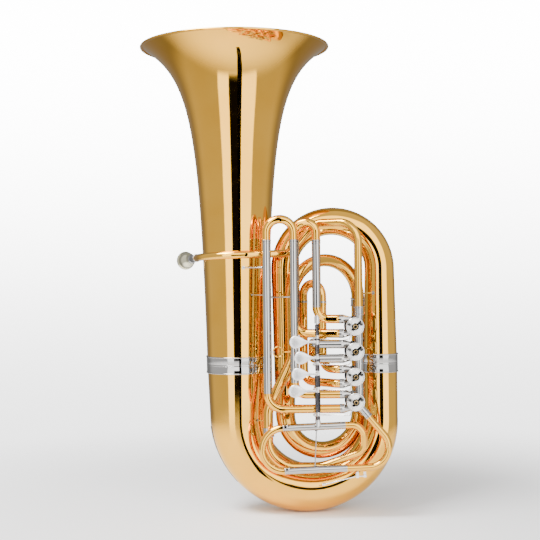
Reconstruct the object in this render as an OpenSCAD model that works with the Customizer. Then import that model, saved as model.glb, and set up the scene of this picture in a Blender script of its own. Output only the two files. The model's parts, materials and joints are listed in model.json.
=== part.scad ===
// Four-valve upright rotary tuba, in millimetres.
// +Z is up towards the bell's mouth, -Y faces the listener (the valve side), and +X runs from
// the bell towards the outer branch. The origin is the lowest point of the bottom bow.

/* [Bell and large bows] */
// Height of the bell's rim above the bottom bow
height = 1100; // [1060:5:1130]
// Outer radius of the bell's rim
rim_r = 225; // [215:1:230]
// Radius of the bottom bow's centreline, from its middle to the bell's axis
bow_r = 169; // [169:1:170]
// Outer radius of the bottom bow where it leaves the bell
bow_start_r = 66; // [64:1:67]
// Outer radius of the bottom bow at its lowest point
bow_low_r = 55.5; // [54:0.5:57]
// Outer radius of the bottom bow where it meets the outer branch
branch_low_r = 40; // [38:1:41]
// Outer radius of the outer branch where it meets the top bow
branch_top_r = 35; // [34:0.5:36]
// Radius of the top bow's centreline
top_bow_r = 113; // [112:1:114]
// Height of the middle of the top bow
top_bow_z = 572; // [570:1:574]
// Wall thickness of the bell, the branches and the bows
wall = 0.8; // [0.7:0.1:1.2]

/* [Valves] */
// Distance between neighbouring rotor axes
valve_pitch = 57; // [57:0.5:57.5]
// Height of the first rotor's axis
valve_top_z = 441.25; // [440:0.25:443]
// Distance of the rotor axes from the bow's middle
valve_x = 101; // [100:0.5:102]
// Distance of the valve tubes in front of the bell's axis
valve_depth = 100; // [100:0.5:101]
// Half the distance between the two tubes of one valve
port_dz = 16.5; // [16.5:0.25:16.75]
// Radius of a rotor
rotor_r = 18.4; // [18.3:0.1:18.5]
// Radius of the air passages in a rotor
passage_r = 6.9; // [6.6:0.1:7]
// Clearance between parts that turn or slide in one another
run_gap = 0.05; // [0.02:0.01:0.08]

/* [Valve tubes] */
// Outer diameter of the valve tubes
tube_d = 20; // [19.6:0.1:20]
// Outer diameter of the slides' inner legs
leg_d = 18; // [17.8:0.1:18.1]
// Bore of the slides' inner legs
bore_d = 16.6; // [16:0.1:16.8]
// Outer diameter of the main tuning slide's tubes
main_d = 16.6; // [16:0.1:17]

/* [Levers] */
// Turn of a paddle when it is pressed, in degrees
paddle_turn = 22; // [20:1:22]
// Length of the arm between the hinge rod and its link
arm_len = 30; // [30:0.5:31]
// Radius of a paddle's touch piece
spoon_r = 14.2; // [13:0.1:14.5]

/* [Hidden] */
$fn = 72;

// Colours
brass = "#d9a441";
nickel = "#c9c6c0";
silver = "#e8e6e2";
cork = "#2b2622";

// Main bows
bow_z = bow_r + bow_low_r;           // middle of the bottom bow
joint_z = 350;                       // joint of the bell and of the outer branch with the bow
inner_x = bow_r - 2 * top_bow_r;     // inner branch, left leg of the top bow
top_bow_end_r = 30;
inner_low_r = 23;
inner_right = [120, 36];             // inner right branch, behind the outer branch
inner_bow_z = 231;
inner_top_z = 502;
riser_top = [-41, -48];
riser_low = [-98, -75];

// Valve section
valve_y = -valve_depth;
function valve_z(k) = valve_top_z - (k - 1) * valve_pitch;
port_x = valve_x - 35;               // end of a casing's left stubs
drop_x = 10;                         // right knuckle of a casing, from the rotor's axis
drop_z = 24;
casing_r = 20.6;
casing_front = -121;
casing_back = -79;
spindle_r = 5;
rotor_front = -117.9;
rotor_back = -84;
crank_r = 2 * arm_len * sin(paddle_turn / 2) / sqrt(2);
stop_reach = 14;                     // distance of the bumpers from the rotor's axis

// Levers
hinge_x = 14;
hinge_y = -142;
hinge_r = 2.5;
barrel_r = 4.6;
spoon_reach = [48, 38, 44, 51];
spoon_z = [409, 373.5, 337, 299];
link_drop = valve_pitch / 2;         // a link runs midway between two valves
arm_rise = 6;                        // an arm lies above its link
function link_z(k) = valve_z(k) - link_drop;
function arm_z(k) = link_z(k) + arm_rise;
pin_at = [hinge_x - arm_len * sin(paddle_turn / 2), hinge_y + arm_len * cos(paddle_turn / 2)];

// Slides: leg positions, measured along the valve tubes from the casing's stubs
loop_a_right = -36.2;
loop_a_left = -97.7;
loop_a_z = 655.75;                   // middle of the fourth slide's crook
port_bend_r = 16;                    // small bend that turns a loop out of the valve plane
loop_b_turn = 12.5;                  // turn of the first valve's loop
loop_b_right = 47.8;
loop_b_left = 97.4;
loop_b_z = 654.8;
loop_c_turn = 44;                    // turn of the third valve's loop
loop_c_right = 36;
loop_c_left = 94.4;
loop_c_z = 509;
tight_bend = 27;
sleeve_id = leg_d + 2 * run_gap;     // bore of the tubes that the slides' legs run in

// Main tuning slide, in its own tilted frame
main_at = [-2.7, valve_y, 163.6];
main_tilt = 2;
main_half = 49;
main_left = -60;                     // middle of the crook
main_right = 82.5;

// Vector helpers
function unit(v) = v / norm(v);
function cut(x, low, high) = min(max(x, low), high);
function chord(p, i) = unit(p[cut(i, 0, len(p) - 2) + 1] - p[cut(i, 0, len(p) - 2)]);
function tangent(p, i) = unit(chord(p, i) + chord(p, max(i - 1, 0)));
function normals(p, n, i = 0) = i == len(p) ? [] :
    let (t = tangent(p, i), m = unit(n - (n * t) * t)) concat([m], normals(p, m, i + 1));
function lengths(p, i = 1, sum = 0) = i > len(p) ? [] :
    concat([sum], lengths(p, i + 1, i == len(p) ? sum : sum + norm(p[i] - p[i - 1])));

// Rounded corner at b between a and c, radius r, one point about every `step` degrees
function corner(a, b, c, r, step = 15) =
    let (u = unit(a - b), w = unit(c - b), half = acos(u * w) / 2, turn = 180 - 2 * half,
        mid = b + unit(u + w) * r / sin(half), e = unit(b + u * r / tan(half) - mid),
        n = ceil(turn / step))
    [for (i = [0 : n]) mid + r * (e * cos(turn * i / n) - u * sin(turn * i / n))];
// Route through the corners pts[1..n-1], each rounded with its radius
function route(pts, radii) = concat([pts[0]],
    [for (i = [1 : len(pts) - 2]) each corner(pts[i - 1], pts[i], pts[i + 1], radii[i - 1])],
    [pts[len(pts) - 1]]);
// Half circle from a to b over the top (up = 1) or the bottom (up = -1), with short straight ends
stub = 10;
function half_circle(a, b, z, up, n) =
    let (mid = (a + b) / 2, r = norm(b - a) / 2, e = unit(a - b))
    concat([[a[0], a[1], z - up * stub]],
        [for (i = [0 : n]) let (c = cos(180 * i / n), s = sin(180 * i / n))
            [mid[0] + r * e[0] * c, mid[1] + r * e[1] * c, z + up * r * s]],
        [[b[0], b[1], z - up * stub]]);

// Hollow tube along the points p, with the outer radii r
module swept_tube(p, r, thick, sides) {
    first = tangent(p, 0);
    n = normals(p, unit(cross(first, abs(first[1]) > 0.9 ? [1, 0, 0] : [0, 1, 0])));
    count = len(p);
    function ring(i, rad) = let (t = tangent(p, i), b = cross(t, n[i]))
        [for (k = [0 : sides - 1]) p[i] + rad * (cos(360 * k / sides) * n[i] + sin(360 * k / sides) * b)];
    function at(i, k) = i * sides + k % sides;
    inner = count * sides;
    points = concat([for (i = [0 : count - 1]) each ring(i, r[i])],
        [for (i = [0 : count - 1]) each ring(i, r[i] - thick)]);
    outside = [for (i = [0 : count - 2]) for (k = [0 : sides - 1])
        [at(i, k), at(i + 1, k), at(i + 1, k + 1), at(i, k + 1)]];
    inside = [for (i = [0 : count - 2]) for (k = [0 : sides - 1])
        [inner + at(i, k), inner + at(i, k + 1), inner + at(i + 1, k + 1), inner + at(i + 1, k)]];
    start = [for (k = [0 : sides - 1])
        [at(0, k), at(0, k + 1), inner + at(0, k + 1), inner + at(0, k)]];
    finish = [for (k = [0 : sides - 1]) let (e = count - 1)
        [at(e, k), inner + at(e, k), inner + at(e, k + 1), at(e, k + 1)]];
    polyhedron(points, concat(outside, inside, start, finish), convexity = 8);
}
// The same with an even taper from r0 to r1
module taper_tube(p, r0, r1, thick, sides) {
    run = lengths(p);
    swept_tube(p, [for (x = run) r0 + (r1 - r0) * x / run[len(p) - 1]], thick, sides);
}

// Straight conical tube standing on z0
module cone_tube(z0, z1, r0, r1, thick) {
    translate([0, 0, z0]) difference() {
        cylinder(h = z1 - z0, r1 = r0, r2 = r1);
        translate([0, 0, -0.01]) cylinder(h = z1 - z0 + 0.02, r1 = r0 - thick, r2 = r1 - thick);
    }
}
// Straight pipe of length h along +Z
module pipe(h, od, id) {
    difference() {
        cylinder(h = h, d = od);
        translate([0, 0, -1]) cylinder(h = h + 2, d = id);
    }
}
// Arc of pipe in the XZ plane about the origin, from the angle a0 through turn
module bend(r, a0, turn, od, id) {
    rotate([90, 0, 0]) rotate([0, 0, a0]) rotate_extrude(angle = turn)
        translate([r, 0]) difference() {
            circle(d = od);
            circle(d = id);
        }
}
// Pipe from the origin along -X, then bent up and rising to z_top; leg is the rising part's x
module up_tube(leg, r, z_top, od, id) {
    rotate([0, -90, 0]) pipe(leg - r, od, id);
    translate([r - leg, 0, r]) bend(r, 180, 90, od, id);
    translate([-leg, 0, r]) pipe(z_top - r, od, id);
}
// Round bar between two points
module bar(a, b, r) {
    d = b - a;
    translate(a) rotate([0, acos(d[2] / norm(d)), atan2(d[1], d[0])]) cylinder(h = norm(d), r = r);
}
// Ring about a tube, with a bead at each end
module ferrule(h, r0, r1, thick) {
    bead = 1.2;
    rotate_extrude() polygon([[r0, 0], [r0 + thick + bead, 0], [r0 + thick + bead, 2.5],
        [r0 + thick, 3.5], [r1 + thick, h - 3.5], [r1 + thick + bead, h - 2.5],
        [r1 + thick + bead, h], [r1, h]]);
}
// Put a piece of the valve loops in its turned plane at valve k
module loop_plane(k, turn) {
    translate([port_x - port_bend_r * sin(turn), valve_y + port_bend_r * (1 - cos(turn)), valve_z(k)])
        rotate([0, 0, -turn]) children();
}
// Pipe at both ports of valve k that turns from -X towards the back, let into its neighbours by lap
module port_bends(k, r, turn, od, id, lap = 0) {
    for (s = [-port_dz, port_dz]) translate([port_x, valve_y + r, valve_z(k) + s])
        rotate([-90, 0, 0]) bend(r, 270 - turn - lap, turn + 2 * lap, od, id);
}
module at_rotor(k) {
    translate([valve_x, 0, valve_z(k)]) children();
}
// Cylinder along -Y from y0 to y1 (y1 < y0)
module along_y(y0, y1, r) {
    translate([0, y0, 0]) rotate([90, 0, 0]) cylinder(h = y0 - y1, r = r);
}

// Bell: a straight taper with a flare that grows towards the rim
bell_end_r = rim_r - 5;
lip = 2.5;
flare_len = 130;
flare_r = bell_end_r - 70.5;
function bell_r(z) = 70.5 - 0.0102 * (height - z)
    + flare_r * pow((flare_len + lip) / (height - z + flare_len), 1.5);
bell_steps = 26;
function bell_level(i) = joint_z + (height - lip - joint_z) * (1 - pow(1 - i / bell_steps, 1.8));
module bell() {
    outline = [for (i = [0 : bell_steps]) [bell_r(bell_level(i)), bell_level(i)]];
    color(brass) translate([-bow_r, 0, 0]) rotate_extrude() polygon(concat(outline,
        [for (i = [bell_steps : -1 : 0]) [outline[i][0] - wall * (1 + 0.5 * i / bell_steps),
            outline[i][1]]]));
}
// Wire rim with a flat top, on which the tuba stands when it is put down
module bell_rim() {
    color(brass) translate([-bow_r, 0, height - lip]) rotate_extrude() translate([rim_r - lip, 0])
        intersection() {
            circle(r = 3);
            square(2 * lip, center = true);
        }
}
module bell_ferrule() {
    low = joint_z - 20;
    high = joint_z + 20;
    color(nickel) translate([-bow_r, 0, low])
        ferrule(high - low, bell_r(joint_z) + 0.3, bell_r(high) + 0.3, 1.2);
}
// Bottom bow, from the bell's joint round to the outer branch's joint
function bow_taper(t) = bow_start_r + (branch_low_r - bow_start_r) * t
    + (bow_low_r - (bow_start_r + branch_low_r) / 2) * sin(180 * t);
bow_steps = 20;
module bottom_bow() {
    arc = [for (i = [0 : bow_steps]) let (a = 180 + 180 * i / bow_steps)
        [bow_r * cos(a), 0, bow_z + bow_r * sin(a)]];
    p = concat([[-bow_r, 0, joint_z]], arc, [[bow_r, 0, joint_z]]);
    r = concat([bell_r(joint_z)], [for (i = [0 : bow_steps]) bow_taper(i / bow_steps)], [branch_low_r]);
    color(brass) swept_tube(p, r, wall, 28);
}
// Guard plate on the bow's outer side, low behind the bell
module bow_guard() {
    steps = 6;
    slices = 7;
    gap = 0.3;
    thick = 1;
    function place(i, k, lift) =
        let (t = 0.03 + 0.2 * i / steps, a = 180 + 180 * t, rad = bow_taper(t) + gap + lift,
            b = -15 + 75 * k / slices, out = [cos(a), 0, sin(a)])
        [0, 0, bow_z] + bow_r * out + rad * (cos(b) * out + sin(b) * [0, 1, 0]);
    function at(s, i, k) = (s * (steps + 1) + i) * (slices + 1) + k;
    points = [for (s = [0, 1]) for (i = [0 : steps]) for (k = [0 : slices]) place(i, k, s * thick)];
    skin = [for (i = [0 : steps - 1]) for (k = [0 : slices - 1]) each [
        [at(1, i, k), at(1, i, k + 1), at(1, i + 1, k + 1), at(1, i + 1, k)],
        [at(0, i, k), at(0, i + 1, k), at(0, i + 1, k + 1), at(0, i, k + 1)]]];
    ends = [for (k = [0 : slices - 1]) each [
        [at(0, 0, k), at(0, 0, k + 1), at(1, 0, k + 1), at(1, 0, k)],
        [at(0, steps, k), at(1, steps, k), at(1, steps, k + 1), at(0, steps, k + 1)]]];
    sides = [for (i = [0 : steps - 1]) each [
        [at(0, i, 0), at(1, i, 0), at(1, i + 1, 0), at(0, i + 1, 0)],
        [at(0, i, slices), at(0, i + 1, slices), at(1, i + 1, slices), at(1, i, slices)]]];
    color(nickel) polyhedron(points, concat(skin, ends, sides), convexity = 4);
}
module outer_branch() {
    color(brass) translate([bow_r, 0, 0]) cone_tube(joint_z, top_bow_z - stub, branch_low_r,
        branch_top_r, wall);
}
module branch_ferrule() {
    color(nickel) translate([bow_r, 0, joint_z - 22]) ferrule(44, branch_low_r + 0.3,
        branch_low_r + 0.2, 1.2);
}
module top_bow() {
    color(brass) taper_tube(half_circle([bow_r, 0], [inner_x, 0], top_bow_z, 1, 18),
        branch_top_r, top_bow_end_r, wall, 24);
}
module inner_branch() {
    color(brass) translate([inner_x, 0, 0])
        cone_tube(inner_bow_z + stub, top_bow_z - stub, inner_low_r, top_bow_end_r, wall);
}
module inner_bottom_bow() {
    color(brass) taper_tube(half_circle([inner_x, 0], inner_right, inner_bow_z, -1, 16),
        inner_low_r, 17, wall, 20);
}
module inner_right_branch() {
    color(brass) translate([inner_right[0], inner_right[1], 0])
        cone_tube(inner_bow_z + stub, inner_top_z - stub, 17, 15.5, wall);
}
module inner_top_bow() {
    color(brass) taper_tube(half_circle(inner_right, riser_top, inner_top_z, 1, 16), 15.5, 14, wall, 18);
}
// Small tube down from the inner top bow, slanting forward to the front of the instrument
module riser() {
    p = route([[each riser_top, inner_top_z - stub], [each riser_top, 362], [each riser_low, 250],
        [each riser_low, 195]], [50, 50]);
    color(brass) taper_tube(p, 14, 11.5, wall, 16);
}
// Conical bow below the main tuning slide, curling up into the slide's upper leg
module lower_arc() {
    end_z = main_at[2] + main_half * cos(main_tilt) + (main_right + main_half * sin(main_tilt)) * sin(main_tilt);
    end_x = main_at[0] + main_right * cos(main_tilt) - main_half * sin(main_tilt);
    p = route([[each riser_low, 195], [-98, -75, 118], [25, -78, 118], [120, -93, 154],
        [120, valve_y, end_z + 1], [end_x, valve_y, end_z]], [62, 90, 28, 28]);
    color(brass) taper_tube(p, 11.5, main_d / 2, wall, 16);
}

// Main tuning slide
module in_main_frame() {
    translate(main_at) rotate([0, -main_tilt, 0]) children();
}
module main_legs(x0, x1, od, id) {
    for (s = [-1, 1]) translate([x0, 0, s * main_half]) rotate([0, 90, 0]) pipe(x1 - x0, od, id);
}
main_sleeve_left = -48;
main_leg_d = main_d - 1.4;
module main_slide_sleeves() {
    color(nickel) in_main_frame() main_legs(main_sleeve_left, main_right, main_d, main_leg_d + 2 * run_gap);
}
module main_slide() {
    color(brass) in_main_frame() {
        translate([main_left, 0, 0]) bend(main_half, 90, 180, main_d, main_leg_d - 1.2);
        main_legs(main_left, main_sleeve_left - 0.5, main_d + 1.8, main_leg_d - 1.2);
        main_legs(main_sleeve_left - 0.5, 60, main_leg_d, main_leg_d - 1.2);
    }
}
outlet_dir = [cos(50), 0, -sin(50)];
outlet_from = [valve_x, valve_y, valve_z(4)] + 33 * outlet_dir;
module outlet_tube() {
    end_x = main_at[0] + main_right * cos(main_tilt) + main_half * sin(main_tilt);
    end_z = main_at[2] - main_half * cos(main_tilt) + (main_right + main_half * sin(main_tilt)) * sin(main_tilt);
    slope = tan(main_tilt);
    far = (outlet_from[2] - end_z + slope * end_x + tan(50) * outlet_from[0]) / (slope + tan(50));
    p = route([outlet_from, [far, valve_y, end_z + slope * (far - end_x)], [end_x, valve_y, end_z]], [45]);
    color(brass) taper_tube(p, main_d / 2, main_d / 2, 0.8, 16);
}

// Leadpipe: round the front of the bell, behind the slides, over and down to the first valve
wrap_r = 93;
wrap_turn = 19;                      // where the leadpipe leaves its round part, from the bell's side
blow_dir = [-sin(wrap_turn), cos(wrap_turn), -0.05];
lead_start = [-bow_r - wrap_r * cos(wrap_turn), -wrap_r * sin(wrap_turn), 602] + 18 * blow_dir;
lead_top_z = 679;
lead_end_z = valve_z(1) + drop_z + 1;
lead_x = valve_x + drop_x;
module leadpipe() {
    wrap_corner = [-bow_r - wrap_r * tan(45 - wrap_turn / 2), -wrap_r, 605];
    p = route([lead_start, wrap_corner, [-138, -wrap_r, 607], [-98, -77, 608], [-44, -56, 609],
        [16, -57, lead_top_z], [lead_x, valve_y, lead_top_z], [lead_x, valve_y, lead_end_z]],
        [wrap_r - 1, 60, 70, 35, 35, 46]);
    color(brass) taper_tube(p, 8.3, 9.6, 0.8, 16);
}
module on_blow_axis(start) {
    translate(lead_start + start * unit(blow_dir))
        rotate([0, acos(unit(blow_dir)[2]), atan2(blow_dir[1], blow_dir[0])]) children();
}
receiver_len = 45;
shank_in = 24;
module receiver() {
    color(nickel) on_blow_axis(0) rotate_extrude() polygon([[7.4, 0], [9.8, 0], [9.8, 3], [8.6, 5],
        [8.6, 36], [10.2, 38], [10.2, receiver_len], [6.85, receiver_len], [6.3,
            receiver_len - shank_in - 1],
        [6.3, 12], [7.4, 10]]);
}
// Mouthpiece, turned about its own axis, with its shank in the receiver
module mouthpiece() {
    color(silver) on_blow_axis(receiver_len - shank_in) rotate_extrude() polygon(concat(
        [[4.6, 0], [6.2, 0], [6.75, shank_in], [7.5, 30], [8.8, 38], [10.5, 44], [15, 50], [18, 58],
         [19, 70], [19.4, 77]],
        [for (a = [-20 : 20 : 180]) [19.7 + 2.6 * cos(a), 81 + 4.5 * sin(a)]],
        [[16.4, 76], [15.4, 68], [12, 58], [7, 52], [4.2, 47], [4, 42], [4, 30]]));
}

// Nickel ferrules at the ends of the leadpipe, the outlet tube and the small branches
module tube_ferrules() {
    color(nickel) {
        translate([lead_x, valve_y, lead_end_z]) ferrule(20, 9.65, 9.65, 1);
        translate(outlet_from) rotate([0, 140, 0]) ferrule(14, 8.35, 8.35, 1.2);
        translate([each riser_low, 188]) ferrule(20, 11.9, 11.9, 1);
        translate([inner_right[0], inner_right[1], inner_bow_z]) ferrule(2 * stub, 17.1, 17.1, 1);
        translate([inner_right[0], inner_right[1], inner_top_z - 2 * stub]) ferrule(2 * stub, 15.7,
            15.6, 1);
    }
}

// Stays: thin bars with a small flange at each end
module stay(a, b, r = 1.6, flange = 5) {
    d = unit(b - a);
    bar(a, b, r);
    bar(a, a + 1.2 * d, flange);
    bar(b - 1.2 * d, b, flange);
}
// Stay from the bell, at x and height z, to the left leg of the fourth valve's loop
module bell_stay(x, z) {
    lift = bell_r(z) + 0.2;
    n = [(x + bow_r) / lift, -sqrt(1 - pow((x + bow_r) / lift, 2)), 0];
    foot = [-bow_r, 0, z] + lift * n;
    leg = [loop_a_left, valve_y, z];
    d = unit(leg - foot);
    end = leg - (tube_d / 2 + 0.1) * d;
    bar(foot, foot + 1.2 * n, 4);
    bar(foot + 0.6 * n, end, 1.6);
    bar(end - 1.2 * d, end, 4);
}
module stays() {
    leg = tube_d / 2;
    color(nickel) {
        bell_stay(-151, 577);
        bell_stay(-132, 514);
        stay([loop_a_left + leg + 0.2, valve_y, 509], [loop_a_right - leg - 0.2, valve_y, 509], flange = 3);
        stay([115.9, -91.6, 515], [150.9, -31.3, 515], flange = 4);
        stay([35.6, -53.5, 679.3], [35.8, -32.4, 681.3], flange = 4);
        stay([12, valve_y, 221.8], [12, valve_y, valve_z(4) - port_dz - leg - 0.2], 2.2, 3);
        stay([8, valve_y, 123.8], [12, valve_y, 204.2], 1.3, 3.5);
        stay([-48.5, -25.6, 420], [-45.3, -34.8, 420], flange = 3);
        stay([-106.2, -66.2, 222], [-123.2, -48.2, 222], flange = 3);
        stay([133.3, 26, 400], [137.4, 23.1, 400], flange = 2.5);
        stay([117.2, 19.4, 383], [102, -71.2, valve_z(2)], flange = 4);
        stay([-101.1, 0, 260], [-80.7, 0, 260], flange = 3);
    }
}

// Valve casings: each left stub narrows to a cone that runs into the casing's side
stub_r = 10.4;
knuckle_r = 9.2;
cone_x = 26;
module casing(k) {
    color(nickel) at_rotor(k) translate([0, valve_y, 0]) {
        difference() {
            union() {
                along_y(casing_back - valve_y, casing_front - valve_y, casing_r);
                along_y(casing_front - valve_y, -25, 8);
                for (s = [-1, 1]) translate([-8, 0, s * port_dz]) rotate([0, -90, 0]) {
                    cylinder(h = cone_x - 8, r1 = 4.8, r2 = stub_r);
                    translate([0, 0, cone_x - 8]) cylinder(h = 9, r = stub_r);
                }
                translate([drop_x, 0, 10]) cylinder(h = drop_z - 9, r = knuckle_r);
                if (k < 4) {
                    translate([drop_x, 0, -drop_z - 1]) cylinder(h = drop_z - 9, r = knuckle_r);
                } else {
                    bar([0, 0, 0], 33 * outlet_dir, knuckle_r);
                }
            }
            along_y(22, casing_front - valve_y + 3, rotor_r + run_gap);
            along_y(0, -30, spindle_r + run_gap);
            for (s = [-1, 1]) {
                translate([1 - cone_x, 0, s * port_dz]) rotate([0, -90, 0]) cylinder(h = 12, r = 8.2);
                bar([-27, 0, s * 17.5], [-11, 0, s * 12], passage_r - 0.4);
            }
            bar([drop_x - 1, 0, drop_z + 3], [13.5, 0, 11], passage_r - 0.4);
            if (k < 4) {
                bar([drop_x - 1, 0, -drop_z - 3], [13.5, 0, -11], passage_r - 0.4);
            } else {
                bar(15 * outlet_dir, 35 * outlet_dir, passage_r);
            }
        }
    }
}
// Rotor with two bent air passages and its spindle
module rotor(k) {
    color(brass) at_rotor(k) {
        difference() {
            along_y(rotor_back, rotor_front, rotor_r);
            for (s = [0, 180]) rotate([0, s, 0]) translate([rotor_r * sqrt(2), valve_y, 0])
                rotate([90, 0, 0]) rotate([0, 0, 130]) rotate_extrude(angle = 100)
                    translate([rotor_r, 0]) circle(r = passage_r);
        }
        along_y(rotor_front, -131, spindle_r);
        along_y(-76, rotor_back, spindle_r);
    }
}
// Stop arm with its crank stud; the finger points away from the stud
module stop_arm(k) {
    color(silver) at_rotor(k) {
        along_y(-131, -133, 3.5);
        difference() {
            union() {
                along_y(-126, -131, 8);
                rotate([0, -45, 0]) translate([0, -131, -2.5]) cube([stop_reach + 3, 5, 5]);
                rotate([0, -45, 0]) translate([-crank_r - 3, -131, -3]) cube([crank_r, 5, 6]);
            }
            along_y(-125, -131.01, spindle_r);
        }
        rotate([0, -45, 0]) translate([-crank_r, 0, 0]) {
            along_y(-131, -136, 1.5);
            along_y(-136, -137.5, 2.4);
        }
    }
}
module rear_bearings() {
    color(nickel) for (k = [1 : 4]) at_rotor(k) difference() {
        along_y(-79.5, -83.9, rotor_r);
        along_y(-75, -85, spindle_r + run_gap);
    }
}
module rear_caps() {
    color(silver) for (k = [1 : 4]) at_rotor(k) difference() {
        union() {
            along_y(-74, -85, casing_r + 1.7);
            along_y(-72, -74, 10);
        }
        along_y(-75.6, -86, casing_r + 0.02);
    }
}
// Bumpers that stop the arm's finger at each end of its quarter turn
bumper_r = 3.2;
bumper_turn = asin((bumper_r + 2.55) / stop_reach);
module bumpers() {
    color(cork) for (k = [1 : 4]) at_rotor(k) for (a = [45 - bumper_turn, 135 + bumper_turn])
        translate([stop_reach * cos(a), 0, stop_reach * sin(a)]) along_y(casing_front, -130, bumper_r);
}
module connecting_tubes() {
    color(nickel) for (k = [1 : 3]) at_rotor(k)
        translate([drop_x, valve_y, drop_z + 1 - valve_pitch]) {
            pipe(valve_pitch - 2 * drop_z - 2, 2 * knuckle_r, 2 * passage_r);
            translate([0, 0, 2]) pipe(3.5, 21, 2 * knuckle_r);
        }
}
// Link from the stop arm's stud down and across to the paddle's pin
module link(k) {
    stud = [valve_x - crank_r * cos(45), -133.6, valve_z(k) - crank_r * sin(45)];
    knee = [valve_x - 14, -133.6, link_z(k) + 1];
    turn = [70, -126, link_z(k)];
    eye = [pin_at[0], pin_at[1], link_z(k)];
    rod = 1.2;
    color(silver) difference() {
        union() {
            translate([stud[0], 0, stud[2]]) along_y(-132, -135.2, 3.4);
            bar(stud + [-1, 0, -2.4], knee - [0.3, 0, 0.8], rod);
            bar(knee + 1.2 * unit(knee - turn), turn - 0.6 * unit(knee - turn), rod);
            bar(turn + 0.6 * unit(turn - eye), eye + [2.9, -0.7, 0], rod);
            translate(eye - [0, 0, 2]) cylinder(h = 4, r = 3.8);
        }
        translate([stud[0], 0, stud[2]]) along_y(-131, -137, 1.5 + run_gap);
        translate(eye - [0, 0, 5]) cylinder(h = 10, r = 2.15);
    }
}
// Outline of a paddle: a round touch piece that narrows in an S curve to the shank
shank_half = 2.4;
function paddle_half(t) = shank_half + (spoon_r - shank_half) * (1 + cos(180 * t)) / 2;
module paddle_shape(reach) {
    neck = 30;
    steps = 12;
    upper = [for (i = [0 : steps]) [neck * i / steps - reach, paddle_half(i / steps)]];
    lower = [for (i = [steps : -1 : 0]) [upper[i][0], -upper[i][1]]];
    tip = [for (a = [-80 : 10 : 80]) [-spoon_r * cos(a) - reach, spoon_r * sin(a)]];
    polygon(concat(tip, upper, [[0, shank_half], [0, -shank_half]], lower));
}
barrel_low = [404, 359, 301.6, 244];
barrel_high = [421, 378.5, 341.5, 301];
module paddle(k) {
    reach = spoon_reach[k - 1];
    dish_r = 100;
    color(silver) translate([hinge_x, hinge_y, 0]) {
        difference() {
            translate([0, -3.4, spoon_z[k - 1]]) rotate([90, 0, 0]) linear_extrude(2)
                paddle_shape(reach);
            translate([-reach, -4.4 - dish_r, spoon_z[k - 1]]) sphere(r = dish_r, $fn = 150);
        }
        difference() {
            union() {
                translate([0, 0, barrel_low[k - 1]])
                    cylinder(h = barrel_high[k - 1] - barrel_low[k - 1], r = barrel_r);
                rotate([0, 0, paddle_turn / 2]) translate([-2, 3, arm_z(k) - 1.5]) cube([4,
                    arm_len - 1, 3]);
            }
            translate([0, 0, 200]) cylinder(h = 250, r = hinge_r + run_gap);
        }
        rotate([0, 0, paddle_turn / 2]) translate([0, arm_len, link_z(k) - 4.5])
            cylinder(h = arm_rise + 4.5, r = 1.5);
    }
}
module hinge_rod() {
    color(silver) translate([hinge_x, hinge_y, 218]) cylinder(h = 251, r = hinge_r);
}
module hinge_posts() {
    color(silver) {
        difference() {
            union() {
                translate([hinge_x, hinge_y, 450]) cylinder(h = 16, r = 6);
                translate([hinge_x - 3, hinge_y, 452]) cube([6, 43.5, 12]);
                translate([hinge_x, hinge_y, 220]) cylinder(h = 12, r = 6);
                bar([hinge_x, hinge_y + 4, 228.4], [12, valve_y - 2.3, 228.4], 3);
            }
            translate([hinge_x, hinge_y, 210]) cylinder(h = 270, r = hinge_r);
        }
    }
}
// Return springs, wound round the hinge rod between the paddles' barrels
spring_low = [422, 379.5, 342.5, 233];
spring_high = [449, 403, 358, 243];
module paddle_springs() {
    wire = 1.3;
    color(cork) for (k = [0 : 3])
        translate([hinge_x, hinge_y, spring_low[k]])
            for (i = [0 : floor((spring_high[k] - spring_low[k]) / (2 * wire)) - 1])
                translate([0, 0, wire * (2 * i + 1)])
                    rotate_extrude() translate([hinge_r + 0.2 + wire, 0]) circle(r = wire - 0.02);
}

// Valve tubes (fixed) and their slides
module valve_tubes_1() {
    top = loop_b_z - 20 - valve_z(1);
    color(brass) {
        port_bends(1, port_bend_r, loop_b_turn, tube_d, sleeve_id, 0.02);
        loop_plane(1, loop_b_turn) {
            translate([0, 0, port_dz]) up_tube(loop_b_right, tight_bend, top - port_dz, tube_d, sleeve_id);
            translate([0, 0, -port_dz]) up_tube(loop_b_left, tight_bend, top + port_dz, tube_d, sleeve_id);
        }
    }
}
// U-shaped slide: crook of radius r over two legs that reach down into their sleeves
module u_slide(r, neck, insert) {
    bend(r, 0, 180, tube_d, bore_d);
    for (s = [-r, r]) translate([s, 0, 0]) {
        translate([0, 0, -neck]) pipe(neck, tube_d, bore_d);
        translate([0, 0, -neck]) pipe(4, tube_d + 1.4, tube_d);
        translate([0, 0, -neck - insert]) pipe(insert, leg_d, bore_d);
    }
}
module valve_slide_1() {
    color(brass) loop_plane(1, loop_b_turn) translate([-(loop_b_left + loop_b_right) / 2, 0,
        loop_b_z - valve_z(1)]) u_slide((loop_b_left - loop_b_right) / 2, 19.5, 120);
}
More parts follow.
